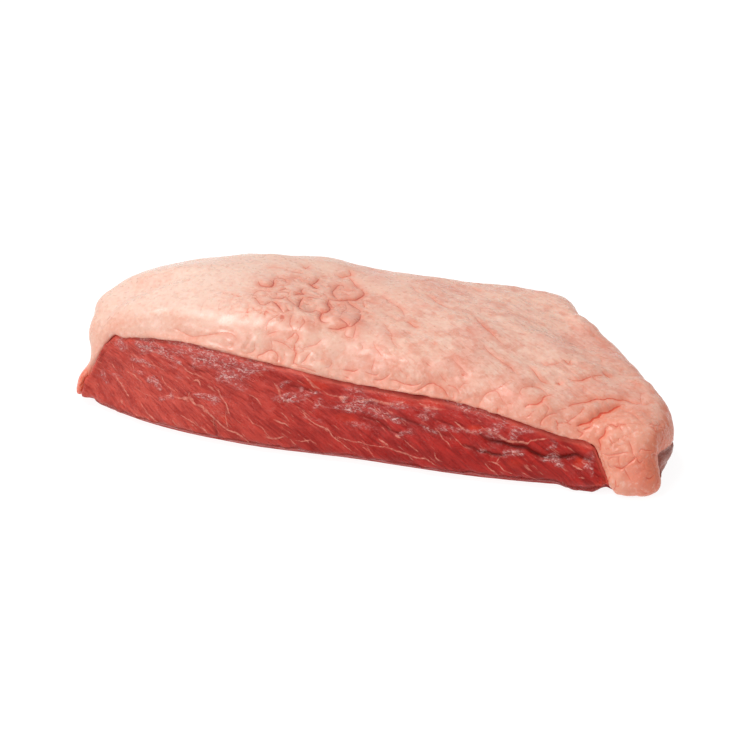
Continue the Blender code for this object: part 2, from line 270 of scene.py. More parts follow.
def waves(points, size, seed):
    """Soft random waves from -1 to 1, about `size` mm across, or one size for each axis."""
    shifted = points / np.asarray(size, float) + 17.3 * seed
    return np.array([noise.noise(p) for p in shifted.tolist()]) * 1.6


def ramp(values, low, high):
    """0 below low, 1 above high, and a smooth rise between."""
    share = np.clip((values - low) / (high - low), 0, 1)
    return share * share * (3 - 2 * share)


def near_to(points, place, inner, outer):
    """1 within `inner` mm of a place, 0 beyond `outer`, and a smooth fall between."""
    return 1 - ramp(np.linalg.norm(points - np.array(place), axis=1), inner, outer)


def wandering(points, size, seeds):
    """Soft random moves in three directions, about `size` mm across."""
    return np.stack([waves(points, size, seed) for seed in seeds], axis=1)


def along_skin(moves, out):
    """Moves without their share in or out of the surface."""
    return moves - (moves * out).sum(axis=1)[:, None] * out


def facing_out(points, out):
    """How far the points face out of the cut of meat, from -1 to 1."""
    start, end = (np.array(p, float) for p in HEART)
    share = np.clip((points - start) @ (end - start) / ((end - start) @ (end - start)), 0, 1)
    away = points - start - share[:, None] * (end - start)
    return (out * away).sum(axis=1) / np.linalg.norm(away, axis=1)


def surface_of(mesh, chosen=None):
    """The faces of a mesh, or some of them, as a surface to measure to, in mm."""
    faces = mesh.polygons if chosen is None else [mesh.polygons[i] for i in chosen]
    return BVHTree.FromPolygons(places(mesh).tolist(), [tuple(face.vertices) for face in faces])


def curve_through(points):
    """A smooth run of points through a few, about a millimetre apart."""
    ends = [points[0], *points, points[-1]]
    run = []
    for before, start, end, after in zip(ends, ends[1:], ends[2:], ends[3:]):
        a, b, c, d = (np.array(p, float) for p in (before, start, end, after))
        steps = max(2, int(np.linalg.norm(c - b) / 1.2))
        for t in np.linspace(0, 1, steps, endpoint=False):
            run.append(b + 0.5 * t * (c - a + t * (2 * a - 5 * b + 4 * c - d
                                                   + t * (3 * (b - c) + d - a))))
    run.append(np.array(points[-1], float))
    return np.array(run)


def laid(line, surface):
    """A smooth line through a few places, laid on a surface. Places with two numbers are along
    and up, and are found on the surface from the front."""
    if len(line[0]) == 2:
        line = [surface.ray_cast((x, -120, z), (0, 1, 0))[0] for x, z in line]
    return np.array([surface.find_nearest(p)[0] for p in curve_through(line).tolist()])


def near_line(points, out, run, reach):
    """The points within reach of a line on their surface, their distances to it, below 0 on its
    one side, and how far along the line they are, from 0 to 1."""
    close = np.where((points > run.min(axis=0) - reach).all(axis=1)
                     & (points < run.max(axis=0) + reach).all(axis=1))[0]
    here, normal = points[close], out[close]
    best = np.full(len(here), 1e9)
    side = np.ones(len(here))
    share = np.zeros(len(here))
    for i in range(len(run) - 1):
        along = run[i + 1] - run[i]
        t = np.clip((here - run[i]) @ along / (along @ along + 1e-9), 0, 1)
        gap = here - run[i] - t[:, None] * along
        gap -= 0.8 * (gap * normal).sum(axis=1)[:, None] * normal
        away = np.linalg.norm(gap, axis=1)
        nearer = away < best
        best[nearer] = away[nearer]
        share[nearer] = ((i + t) / (len(run) - 1))[nearer]
        side[nearer] = np.sign((gap * np.cross(normal, along)).sum(axis=1) + 1e-9)[nearer]
    return close, best, side, share


def traced(points, out, lines, surface, valley):
    """What a set of lines does to a surface: the distance to the nearest one in mm, below 0 on its
    one side, its strength there, how deep the points are in its narrow groove, and how deep in
    the broad valley around it, `valley` mm wide."""
    away = np.full(len(points), 4.0)
    force, groove, dip = (np.zeros(len(points)) for _ in range(3))
    for strength, line in lines:
        close, best, side, share = near_line(points, out, laid(line, surface), 2.2 * valley)
        local = strength * (0.4 + 0.6 * np.sqrt(np.clip(4 * share * (1 - share), 0, 1)))
        width = 0.35 + 0.4 * local
        groove[close] = np.maximum(groove[close], local * np.exp(-(best / width) ** 2))
        dip[close] = np.maximum(dip[close], local * np.exp(-(best / valley) ** 2))
        nearer = best < np.abs(away[close])
        away[close[nearer]] = (side * best)[nearer]
        force[close[nearer]] = (local * (1 - ramp(best, 1.2, 2.0)))[nearer]
    return away, force, groove, dip


def patched(points, patches):
    """How far points are inside a set of soft oval patches on the cut, from 0 to 1."""
    inside = np.zeros(len(points))
    for x, z, half_x, half_z, strength in patches:
        far = np.sqrt(((points[:, 0] - x) / half_x) ** 2 + ((points[:, 2] - z) / half_z) ** 2)
        inside = np.maximum(inside, strength * (1 - ramp(far, 0.45, 1.15)))
    return inside


def pushed(points, pushes):
    """How far points move out for a set of soft round swellings: middle, radius and height."""
    rise = np.zeros(len(points))
    for x, y, z, radius, height in pushes:
        rise += height * near_to(points, (x, y, z), 0.25 * radius, radius)
    return rise


def keep(mesh, **layers):
    """Stores numbers, one or three for each point of a mesh, for its material to read."""
    for name, values in layers.items():
        kind, field = ("FLOAT", "value") if values.ndim == 1 else ("FLOAT_VECTOR", "vector")
        layer = mesh.attributes.new(name, kind, "POINT")
        layer.data.foreach_set(field, values.astype(np.float32).ravel())


def thin_out(piece, hidden, ratio):
    """Makes the mesh coarse where `hidden`, from 0 to 1, is high."""
    group = piece.vertex_groups.new(name="hidden")
    for level in (0.5, 1.0):
        chosen = np.where(hidden >= level)[0].tolist()
        group.add(chosen, level, "REPLACE")
    fewer = piece.modifiers.new("fewer", "DECIMATE")
    fewer.ratio = ratio
    fewer.vertex_group = "hidden"
    mesh = applied(piece)
    piece.vertex_groups.clear()
    return mesh


def made_finer(piece, zone):
    """Cuts the faces of a zone in four. The zone says of each point whether it is inside."""
    fine = bmesh.new()
    fine.from_mesh(piece.data)
    inside = zone.tolist()
    cut = [e for e in fine.edges if inside[e.verts[0].index] and inside[e.verts[1].index]]
    bmesh.ops.subdivide_edges(fine, edges=cut, cuts=1, use_grid_fill=True)
    bmesh.ops.triangulate(fine, faces=[f for f in fine.faces if len(f.verts) > 4])
    fine.to_mesh(piece.data)
    fine.free()
    piece.data.update()
    return piece.data


def grain_of(points, out):
    """Places measured across, through and along the bundles, in mm. The bundles leave the fat at
    a low angle and steepen towards the underside; on the underside they run lengthways."""
    heights = np.linspace(0, 80, 161)
    angles = np.radians(GRAIN_LOW + (GRAIN_HIGH - GRAIN_LOW) * np.clip(heights / GRAIN_TOP, 0, 1))
    runs = np.concatenate(([0], np.cumsum(0.5 / np.tan(angles))[:-1]))
    z = np.clip(points[:, 2], 0, 80)
    side = np.stack([(points[:, 0] + np.interp(z, heights, runs)) * 0.45,
                     points[:, 1],
                     points[:, 0] * 0.85 - z * 0.5], axis=1)
    under = np.stack([points[:, 1] * 0.9 + points[:, 0] * 0.22, points[:, 2],
                      points[:, 0] * 0.95 - points[:, 1] * 0.2], axis=1)
    flat = ramp(-out[:, 2], 0.5, 0.8)[:, None]
    return side * (1 - flat) + under * flat


lean = even_copy("lean_muscle", "lean_muscle_skin", LEAN_VOXEL)
mesh = lean.data
points = relaxed(mesh, places(mesh), LEAN_SMOOTHING)
put(mesh, points)
out = facings(mesh)
buried = ramp(out[:, 2], 0.35, 0.6) * ramp(points[:, 2], 8, 14)
resting = ramp(-out[:, 2], 0.75, 0.9)
mesh = thin_out(lean, np.maximum(buried, 0.6 * resting), LEAN_KEPT)
out = facings(mesh)
mesh = made_finer(lean, (out[:, 1] < -0.35) & (np.abs(out[:, 2]) < 0.75))
points = relaxed(mesh, places(mesh), LAST_SMOOTHING)
put(mesh, points)
out = facings(mesh)
x, _, z = points.T

# The muscle swells out to meet the lip of the fat all round.
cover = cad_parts["fat_cap"].data
middles = np.array([face.center[:] for face in cover.polygons]) / MM
normals = np.array([face.normal[:] for face in cover.polygons])
cover = surface_of(cover, np.where(facing_out(middles, normals) > 0.55)[0].tolist())
to_fat = np.array([cover.find_nearest(p)[0] for p in points.tolist()]) - points
proud = (to_fat * out).sum(axis=1)
beside = np.linalg.norm(to_fat - proud[:, None] * out, axis=1)
swelling = np.clip(proud - LIP - 0.5 * (1 - ramp(beside, 0.3, 0.9)), 0, LIP_SWELLING)
swelling *= (1 - ramp(beside, 2.0, 9.0)) * (1 - ramp(proud, 4.5, 6.5))

# What shows on the cut, drawn a little unevenly: veins, clefts with painted shade, and wet patches
# with a painted sheen and painted glints.
grain = grain_of(points, out)
wander = along_skin(wandering(points, 8, (1, 2, 3)), out)
drawn = points + 0.6 * wander
surface = surface_of(mesh)
vein_side, vein_width, vein_ridge, _ = traced(drawn, out, VEINS, surface, 1.5)
_, _, cleft, gully = traced(drawn, out, CLEFTS, surface, 1.8)
on_side = 1 - ramp(-out[:, 2], 0.6, 0.9)
on_cut = ramp(-out[:, 1], 0.1, 0.4)
wet = patched(points + 3.5 * wander, WET)
# More wet patches at random high on the cut, with the same painted sheen and painted glints.
film = ramp(waves(points, (16, 9, 3.5), 31), 0.25, 0.8) * ramp(z, 14, 24)
wet = np.maximum(wet, 0.7 * film) * on_cut

# The relief: bundles and fibres along the grain, soft lumps, clefts and the ragged foot.
bundle = waves(grain, (3.0, 8, 22), 5) + 0.5 * waves(grain, (1.7, 6, 12), 6)
fibre = waves(grain, (0.8, 2.2, 6), 7) + 0.6 * waves(points, 2.2, 4)
fibre = FIBRE_RISE * fibre * (0.5 + 0.7 * ramp(z, 8, 30))
lump = waves(points, 21, 8) * 0.7 + waves(points, 9, 9) * 0.3
rise = BUNDLE_RISE * bundle + fibre + LEAN_LUMPS * lump
rise = rise * on_side + swelling - LEAN_INSET * on_side - cleft - GULLY_DEPTH * gully
rise += VEIN_RISE * vein_ridge
rise += WET_RISE * wet * waves(points, (2.4, 1.6, 1.1), 10)
ragged = waves(points, (6, 6, 12), 14) + 0.5 * waves(points, (2.6, 2.6, 6), 15)
rise += RAGGED_FOOT * ragged * (1 - ramp(z, 2, 8)) * on_side
rise += pushed(points, LEAN_SWELLINGS)
shaped = points + out * rise[:, None]
shaped[:, 2] = np.maximum(shaped[:, 2], 0)
put(mesh, shaped)
keep(mesh, grain=grain, vein_side=vein_side, vein_width=vein_width, wet=wet,
     cleft=np.clip(cleft + 0.25 * gully, 0, 1), warm=patched(drawn, WARM) * on_cut,
     rosy=ramp(-x, -40, 115), dusk=ramp(x, 127, 135), foot=1 - ramp(z, 0.5, 4.5),
     hem=(1 - ramp(beside, 0.4, 1.8)) * on_cut)


def add(tree, kind, **settings):
    """A new node. Settings that name an input fill it, and the others are the node's own."""
    made = tree.nodes.new("ShaderNode" + kind)
    for name, value in settings.items():
        label = name.replace("_", " ")
        if label in made.inputs:
            made.inputs[label].default_value = value
        else:
            setattr(made, name, value)
    return made


def new_material(name):
    """A new material: itself, its nodes, and its shader."""
    material = bpy.data.materials.new(name)
    material.use_nodes = True
    return material, material.node_tree, material.node_tree.nodes["Principled BSDF"]


def set_values(shader, **numbers):
    """Sets a shader's own values. An underscore stands for a space in a name."""
    for name, value in numbers.items():
        shader.inputs[name.replace("_", " ")].default_value = value


def stored(tree, name, output="Fac"):
    """The output of a stored mesh value."""
    return add(tree, "Attribute", attribute_name=name).outputs[output]


def blended(tree, first, second, share, how="MIX"):
    """Two colours mixed by a share, each a colour value or the output of a node."""
    mix = add(tree, "Mix", data_type="RGBA", blend_type=how)
    sockets = [s for s in mix.inputs if s.type == "RGBA"]
    for socket, value in ((mix.inputs["Factor"], share), (sockets[0], first), (sockets[1], second)):
        if isinstance(value, bpy.types.NodeSocket):
            tree.links.new(value, socket)
        else:
            socket.default_value = value
    return [s for s in mix.outputs if s.type == "RGBA"][0]


def worked(tree, how, first, second=None, third=None):
    """The result of one sum on numbers or outputs."""
    node = add(tree, "Math", operation=how, use_clamp=False)
    for socket, value in zip(node.inputs, (first, second, third)):
        if isinstance(value, bpy.types.NodeSocket):
            tree.links.new(value, socket)
        elif value is not None:
            socket.default_value = value
    return node.outputs[0]


def times(tree, first, second):
    """The product of two numbers or outputs."""
    return worked(tree, "MULTIPLY", first, second)


def stained(tree, colour, stain, name, strength):
    """A colour mixed towards another where a stored mesh value is high."""
    return blended(tree, colour, stain, times(tree, stored(tree, name), strength))


def spread(tree, value, low, high, start=0.0, end=1.0):
    """A value between low and high, spread smoothly from start to end."""
    node = add(tree, "MapRange", interpolation_type="SMOOTHSTEP")
    tree.links.new(value, node.inputs["Value"])
    for name, number in (("From Min", low), ("From Max", high), ("To Min", start), ("To Max", end)):
        node.inputs[name].default_value = number
    return node.outputs["Result"]


def speckle(tree, place, scale, detail=3.0, roughness=0.55, stretch=(1, 1, 1)):
    """Noise over a place in space, about one over `scale` across."""
    sized = add(tree, "Mapping")
    tree.links.new(place, sized.inputs["Vector"])
    sized.inputs["Scale"].default_value = stretch
    node = add(tree, "TexNoise", Scale=scale, Detail=detail, Roughness=roughness)
    tree.links.new(sized.outputs["Vector"], node.inputs["Vector"])
    return node.outputs["Fac"]


def thin_line(tree, side, width, jitter, wobble):
    """A crisp line: 1 on it and 0 beyond its half width, both in mm, with an uneven edge."""
    shifted = worked(tree, "MULTIPLY_ADD", worked(tree, "SUBTRACT", jitter, 0.5), wobble, side)
    inside = worked(tree, "SUBTRACT", width, worked(tree, "ABSOLUTE", shifted))
    return spread(tree, inside, 0.0, 0.25)


def tint(red, green, blue):
    """A colour from its values on screen, 0 to 255, as the light that it sends back."""
    return (*(((v / 255 + 0.055) / 1.055) ** 2.4 if v > 10 else v / 3294.6
              for v in (red, green, blue)), 1.0)


DEEP_RED, DEEP_RED_LEFT = tint(130, 16, 14), tint(148, 30, 22)
LIGHT_RED, LIGHT_RED_LEFT = tint(178, 40, 34), tint(196, 76, 62)
DARK_PATCH = tint(120, 16, 12)
ORANGE = tint(198, 52, 30)
MARBLING = tint(208, 126, 108)
IN_CLEFTS = tint(92, 12, 6)
AT_FOOT = tint(166, 42, 26)
UNDER_LIP = tint(214, 96, 80)
WET_FILM = tint(184, 86, 82)
GLINTS = tint(240, 192, 186)
DULL_END = tint(158, 98, 82)

flesh, tree, shader = new_material("wet_red_flesh")
threads = stored(tree, "grain", "Vector")
body = add(tree, "TexCoord").outputs["Object"]
coarse = speckle(tree, threads, 1.0, 3, 0.6, (0.3, 0.16, 0.06))
fine = speckle(tree, threads, 1.0, 3, 0.6, (1.2, 0.4, 0.075))
patch = speckle(tree, body, 60, 4, 0.55)
# How far towards the left of the cut: there the reds are painted lighter and paler, a painted light
# and painted haze.
left = stored(tree, "rosy")
wet = stored(tree, "wet")
deep = blended(tree, DEEP_RED, DEEP_RED_LEFT, left)
light = blended(tree, LIGHT_RED, LIGHT_RED_LEFT, left)
colour = blended(tree, deep, light, spread(tree, coarse, 0.32, 0.68, 0.2, 0.85))
colour = blended(tree, colour, light, spread(tree, fine, 0.52, 0.66, 0, 0.7))
colour = blended(tree, colour, deep, spread(tree, fine, 0.48, 0.34, 0, 0.75))
colour = blended(tree, colour, DARK_PATCH, spread(tree, patch, 0.52, 0.75, 0, 0.25))
warm = times(tree, stored(tree, "warm"), spread(tree, coarse, 0.3, 0.6, 0.5, 0.95))
colour = blended(tree, colour, ORANGE, warm)
streak = speckle(tree, threads, 1.0, 2, 0.5, (1.2, 0.4, 0.14))
fleck = speckle(tree, threads, 1.0, 2, 0.5, (0.14, 0.1, 0.07))
marbled = times(tree, spread(tree, streak, 0.62, 0.68), spread(tree, fleck, 0.46, 0.56))
marbled = times(tree, marbled, 0.5)
broken = speckle(tree, body, 420, 3, 0.6)
vein = thin_line(tree, stored(tree, "vein_side"), times(tree, stored(tree, "vein_width"), 0.95),
                 speckle(tree, body, 700, 3, 0.6), 1.0)
vein = times(tree, vein, spread(tree, broken, 0.38, 0.6, 0.3, 0.9))
marbled = worked(tree, "MAXIMUM", marbled, vein)
colour = blended(tree, colour, MARBLING, marbled)
# Painted shade: the clefts between the bundles are painted nearly black-red.
colour = stained(tree, colour, IN_CLEFTS, "cleft", 0.8)
colour = stained(tree, colour, AT_FOOT, "foot", 0.5)
# Painted light just under the lip of the fat, lifting the shadow that the lip casts.
colour = stained(tree, colour, UNDER_LIP, "hem", 0.6)
# Painted glints: thin wavy strokes and spots of near white on the wet patches.
ripple = speckle(tree, body, 600, 2, 0.55, (0.4, 0.8, 1.3))
ripple = worked(tree, "ABSOLUTE", worked(tree, "SUBTRACT", ripple, 0.5))
ripple = spread(tree, ripple, 0.045, 0.012)
drops = spread(tree, speckle(tree, threads, 1.0, 3, 0.65, (1.8, 1.2, 0.5)), 0.5, 0.62)
frost = times(tree, worked(tree, "MAXIMUM", ripple, times(tree, drops, 0.6)),
              times(tree, wet, spread(tree, broken, 0.36, 0.56)))
# A painted sheen over the wet patches, with the painted glints on top.
colour = blended(tree, colour, WET_FILM, times(tree, wet, 0.5))
colour = blended(tree, colour, GLINTS, times(tree, frost, 0.85))
# Painted light on the far right end of the cut, which stands in shade: lighter and browner there.
colour = stained(tree, colour, DULL_END, "dusk", 0.8)
tree.links.new(colour, shader.inputs["Base Color"])
damp = spread(tree, speckle(tree, body, 200, 3, 0.6), 0.35, 0.65, 0.24, 0.46)
damp = times(tree, damp, spread(tree, wet, 0, 1, 1.0, 0.5))
damp = worked(tree, "MAXIMUM", damp, times(tree, stored(tree, "foot"), 0.7))
tree.links.new(damp, shader.inputs["Roughness"])
set_values(shader, Specular_IOR_Level=0.32, Specular_Tint=(1.0, 0.74, 0.7, 1.0),
           Subsurface_Weight=0.08, Subsurface_Radius=(1.0, 0.2, 0.15), Subsurface_Scale=1.0 * MM)
hair = speckle(tree, threads, 1.0, 3, 0.6, (2.4, 1.2, 0.45))
height = worked(tree, "ADD", times(tree, fine, 0.5), times(tree, hair, 0.5))
height = times(tree, height, spread(tree, wet, 0, 1, 1.0, 1.8))
height = worked(tree, "MULTIPLY_ADD", vein, 0.12, height)
height = worked(tree, "MULTIPLY_ADD", frost, 0.35, height)
relief = add(tree, "Bump", Strength=0.9, Distance=0.9 * MM)
tree.links.new(height, relief.inputs["Height"])
tree.links.new(relief.outputs["Normal"], shader.inputs["Normal"])
lean.data.materials.append(flesh)
lean.data.shade_smooth()
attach(lean, "root")
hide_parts("lean_muscle")

# ---------------------------------------------------------------------- fat cap
# The layer of creamy fat over the muscle: smooth and firm on the left, gathered into a knot of
# lobes in the middle, wrinkled on the right and folded over the front corner as a tongue.

# The mesh of the skin, as for the lean.
FAT_VOXEL = 0.94
FAT_SMOOTHING = 14
FAT_KEPT = 0.64
# The fine lobes of the knot and the tongue, and the coarser ones elsewhere.
SMALL_LOBE = 6.0
LARGE_LOBE = 9.5
# How far each form sinks into the skin or rises from it.
FAT_INSET = 0.35
CREASE_DEPTH = 0.4
VALLEY_DEPTH = 0.55
SEAM_DEPTH = 0.5
WRINKLE_DEPTH = 0.22
EDGE_RISE = 0.6
TOE_RISE = 0.6

# Each crease: strength, and the places that it runs through, in mm.
CREASES = (
    # On the left.
    (0.45, ((-88, -51, 47), (-86, -52, 47), (-82, -53, 46), (-79, -54, 46), (-74, -54, 47),
        (-71, -54, 48), (-68, -54, 49), (-64, -54, 50), (-59, -54, 50), (-56, -55, 48))),
    (0.25, ((-69, -44, 56), (-70, -40, 58), (-69, -37, 59), (-65, -38, 59), (-60, -41, 58))),
    (0.25, ((-60, -41, 58), (-63, -43, 58), (-64, -46, 56))),
    (0.25, ((-60, -41, 59), (-60, -38, 60), (-60, -35, 60), (-58, -34, 60))),
    (0.2, ((-77, -46, 55), (-78, -40, 57), (-77, -37, 58))),
    # On the knot.
    (0.9, ((-59, -16, 61), (-57, -19, 61), (-53, -18, 60), (-52, -15, 60), (-53, -10, 60))),
    (0.5, ((-53, -10, 60), (-52, -7, 60), (-49, -7, 59), (-47, -10, 59))),
    (0.5, ((-56, -33, 60), (-57, -27, 60), (-56, -24, 60), (-54, -23, 60), (-50, -23, 60))),
    (0.6, ((-57, -29, 60), (-55, -32, 60), (-52, -35, 60), (-50, -37, 59), (-48, -35, 59),
        (-47, -32, 59))),
    (0.7, ((-48, -30, 59), (-46, -28, 59), (-44, -28, 59), (-42, -25, 59))),
    (0.9, ((-47, -32, 59), (-44, -34, 59), (-41, -38, 59), (-39, -40, 58))),
    (0.6, ((-49, -38, 59), (-48, -35, 59), (-47, -32, 59))),
    (0.6, ((-42, -25, 59), (-39, -29, 59), (-35, -32, 59), (-33, -32, 58))),
    (0.8, ((-38, -12, 58), (-38, -15, 58), (-36, -17, 58), (-38, -18, 58), (-39, -21, 58))),
    (0.9, ((-35, -22, 58), (-35, -26, 58), (-34, -31, 58), (-32, -34, 58))),
    (0.6, ((-32, -33, 58), (-30, -34, 58), (-28, -32, 56), (-26, -29, 56), (-23, -30, 55))),
    (1, ((-37, -4, 57), (-35, -6, 57), (-32, -8, 57))),
    (0.8, ((-36, -5, 57), (-35, -1, 57), (-35, 3, 57))),
    (0.7, ((-46, 12, 59), (-44, 10, 59), (-43, 14, 58))),
    (0.8, ((-25, 21, 55), (-23, 16, 55), (-25, 14, 55), (-26, 11, 56), (-28, 12, 56))),
    (0.5, ((-35, 6, 57), (-32, 8, 57))),
    (0.7, ((-21, 0, 55), (-23, 3, 55), (-25, 1, 56), (-25, -3, 56), (-25, -7, 56), (-22, -12, 55),
        (-20, -14, 55))),
    (0.9, ((-24, -16, 55), (-21, -15, 55), (-18, -14, 55), (-16, -11, 54), (-13, -9, 54),
        (-11, -3, 54), (-12, 1, 54), (-14, 3, 54))),
    (0.7, ((-14, 3, 54), (-17, 5, 54), (-20, 10, 55), (-23, 13, 55))),
    (0.7, ((-16, -13, 54), (-14, -15, 54), (-11, -17, 54), (-8, -19, 54), (-7, -22, 53))),
    (1, ((-24, -16, 55), (-23, -21, 56), (-21, -25, 55), (-21, -29, 56), (-23, -30, 55),
        (-22, -37, 56), (-20, -39, 55), (-18, -39, 55))),
    (0.6, ((-24, -17, 55), (-21, -22, 55), (-19, -23, 55))),
    (0.9, ((-16, -42, 54), (-12, -41, 53), (-10, -40, 54), (-8, -38, 54), (-10, -36, 55),
        (-13, -35, 56))),
    (0.8, ((-8, -38, 54), (-6, -38, 54), (-5, -35, 55), (-5, -29, 54), (-6, -23, 53))),
    (0.5, ((-5, -36, 55), (-4, -39, 53), (-4, -42, 52), (-4, -44, 51), (-7, -44, 51), (-8, -43, 52),
        (-8, -41, 53))),
    (0.5, ((-34, -40, 57), (-34, -43, 56), (-33, -47, 55), (-31, -49, 54))),
    (0.5, ((-29, -40, 57), (-27, -43, 56), (-28, -47, 55), (-28, -49, 54))),
    (0.5, ((-43, -51, 53), (-44, -48, 55), (-43, -46, 56), (-41, -44, 57), (-40, -42, 58))),
    (0.6, ((-42, -52, 51), (-40, -51, 52), (-38, -51, 53))),
    (0.6, ((-33, -53, 50), (-31, -52, 52), (-30, -50, 53), (-28, -51, 52), (-28, -52, 51),
        (-29, -54, 49))),
    (0.5, ((-39, -53, 49), (-36, -54, 49), (-33, -54, 48), (-30, -55, 46))),
    (0.8, ((-29, -54, 49), (-29, -55, 46), (-28, -56, 45), (-28, -57, 43), (-28, -58, 41),
        (-26, -59, 41))),
    (0.4, ((-28, -55, 47), (-27, -54, 48), (-24, -55, 47), (-25, -55, 46), (-27, -56, 45))),
    (0.6, ((-24, -58, 42), (-23, -57, 43), (-22, -56, 45), (-21, -55, 46))),
    (0.5, ((-25, -54, 48), (-22, -53, 48), (-19, -52, 49), (-18, -51, 50), (-17, -49, 51))),
    (0.6, ((-45, -59, 41), (-45, -58, 43), (-43, -57, 44), (-41, -56, 45), (-38, -56, 45),
        (-36, -57, 43), (-36, -58, 40))),
    (0.4, ((-48, -55, 47), (-47, -56, 45), (-49, -57, 43), (-51, -58, 43))),
    (0.4, ((-40, -56, 45), (-39, -55, 47), (-40, -54, 49))),
    (0.35, ((-60, -1, 61), (-57, 2, 60), (-53, 3, 60), (-49, 2, 59))),
    (0.6, ((-49, 2, 59), (-47, 3, 59), (-43, 3, 59))),
    (0.35, ((-49, -9, 59), (-47, -5, 59), (-43, -3, 58), (-40, -6, 58))),
    (0.4, ((-16, -16, 54), (-14, -21, 54), (-14, -27, 55), (-13, -34, 56))),
    # On the strip along the cut.
    (0.6, ((-26, -59, 40), (-23, -59, 40), (-20, -60, 39), (-17, -60, 39))),
    (0.35, ((-13, -57, 41), (-12, -57, 41), (-11, -56, 42), (-11, -55, 43))),
    (0.7, ((-5, -56, 40), (-2, -56, 40), (0, -56, 40), (2, -55, 41))),
    (0.6, ((-4, -58, 38), (-2, -58, 37))),
    (0.5, ((8, -52, 45), (8, -54, 43), (8, -54, 41))),
    (0.5, ((5, -55, 40), (8, -55, 39), (10, -55, 39), (11, -55, 40))),
    (0.6, ((9, -56, 37), (11, -56, 37), (14, -56, 38), (16, -55, 40))),
    (0.7, ((17, -56, 38), (20, -56, 38), (24, -56, 37), (27, -56, 37), (30, -56, 38),
        (31, -56, 39))),
    (0.7, ((29, -58, 35), (32, -57, 37), (34, -56, 38), (37, -55, 39), (39, -55, 38), (42, -56, 36),
        (44, -57, 34))),
    (0.35, ((9, -58, 33), (17, -58, 33), (21, -58, 34), (22, -57, 36))),
    (0.5, ((59, -56, 33), (60, -55, 36), (62, -54, 38), (65, -53, 38), (67, -55, 37),
        (69, -56, 35))),
    (0.4, ((63, -53, 38), (66, -51, 39), (69, -47, 41), (71, -45, 41))),
    (0.6, ((78, -54, 38), (76, -52, 38), (76, -49, 39), (78, -46, 39), (82, -43, 38), (85, -45, 38),
        (87, -48, 37))),
    (0.9, ((79, -58, 34), (81, -57, 36), (84, -56, 36), (86, -53, 37), (86, -51, 37), (87, -49, 37),
        (89, -47, 37))),
    (0.6, ((87, -61, 26), (87, -61, 29), (88, -59, 31), (90, -58, 32), (93, -56, 32))),
    (0.5, ((87, -54, 36), (89, -55, 35), (90, -56, 34), (89, -58, 32))),
    (0.6, ((67, -58, 32), (67, -59, 31), (67, -59, 29))),
    (0.4, ((93, -55, 33), (95, -53, 33), (98, -52, 34))),
    (0.4, ((49, -55, 38), (50, -53, 39), (53, -52, 40))),
    (0.5, ((43, -54, 38), (47, -55, 38), (49, -56, 36))),
    # On the wrinkled right.
    (0.4, ((6, -44, 50), (7, -46, 49), (9, -48, 48), (11, -50, 47))),
    (0.4, ((6, -27, 52), (9, -31, 51), (12, -35, 51), (13, -39, 51), (15, -42, 50), (18, -44, 49))),
    (0.3, ((9, -44, 50), (12, -45, 49), (14, -47, 48), (15, -49, 48))),
    (0.35, ((0, -45, 50), (2, -48, 49), (1, -49, 48))),
    (0.5, ((-4, 1, 53), (0, -1, 53), (4, -4, 52), (8, -7, 52), (11, -10, 52), (13, -15, 51))),
    (0.35, ((3, -17, 52), (7, -18, 52), (11, -21, 52), (14, -20, 51))),
    (0.7, ((15, -19, 51), (18, -21, 51), (20, -23, 51), (22, -23, 50))),
    (0.55, ((15, 14, 50), (19, 12, 50), (22, 8, 50), (27, 5, 50), (30, 2, 50))),
    (0.35, ((39, 0, 49), (42, -6, 49), (45, -8, 48), (47, -9, 48))),
    (0.6, ((44, 0, 48), (47, -5, 48), (50, -9, 47), (54, -13, 47), (57, -16, 46), (60, -19, 45))),
    (0.35, ((42, -16, 49), (46, -19, 48), (48, -20, 48))),
    (0.55, ((53, -26, 47), (57, -29, 46), (60, -31, 45), (64, -34, 44), (68, -36, 43),
        (71, -40, 41))),
    (0.65, ((75, -30, 41), (78, -33, 41), (81, -36, 40), (83, -38, 38), (86, -38, 38))),
    (0.4, ((42, -42, 47), (46, -46, 46), (49, -48, 44), (52, -49, 42))),
    (0.4, ((39, -52, 43), (41, -53, 41), (43, -54, 39))),
    (0.5, ((32, 41, 44), (35, 39, 44), (38, 38, 44))),
    (0.4, ((44, 8, 47), (43, 13, 47), (46, 15, 46))),
    (0.45, ((79, -23, 40), (82, -26, 40), (84, -24, 40), (86, -23, 40), (88, -20, 40),
        (92, -24, 40), (96, -27, 39))),
    (0.8, ((89, -17, 40), (92, -19, 40), (92, -16, 40))),
    (0.9, ((90, -35, 38), (91, -36, 37))),
    (0.8, ((94, -31, 38), (97, -31, 38), (99, -30, 38), (101, -27, 37), (104, -23, 37),
        (108, -19, 36))),
    (0.6, ((103, -22, 37), (105, -25, 36), (107, -25, 35))),
    (0.8, ((107, -16, 36), (109, -17, 35), (111, -18, 34))),
    (0.4, ((7, 19, 51), (11, 14, 51), (13, 14, 51))),
    (0.4, ((7, 27, 50), (10, 30, 49), (11, 38, 47))),
    (0.6, ((31, -35, 49), (33, -36, 49))),
    (0.7, ((48, -49, 42), (50, -50, 42))),
    (0.6, ((32, -49, 46), (34, -50, 45))),
    (0.3, ((113, -13, 34), (116, -11, 33), (119, -9, 32), (123, -7, 31))),
    (0.3, ((101, -34, 36), (102, -39, 35))),
    # On the folds over the corner.
    (1.6, ((103, -57, 28), (105, -56, 29), (108, -55, 30), (109, -52, 31), (111, -50, 32),
        (112, -47, 32), (115, -44, 32), (117, -40, 31), (119, -38, 32))),
    (1, ((98, -51, 34), (99, -49, 35), (102, -46, 35), (105, -44, 35), (108, -40, 35),
        (111, -39, 34), (113, -37, 34), (115, -36, 34), (118, -35, 33), (121, -33, 32),
        (124, -34, 31), (127, -34, 32))),
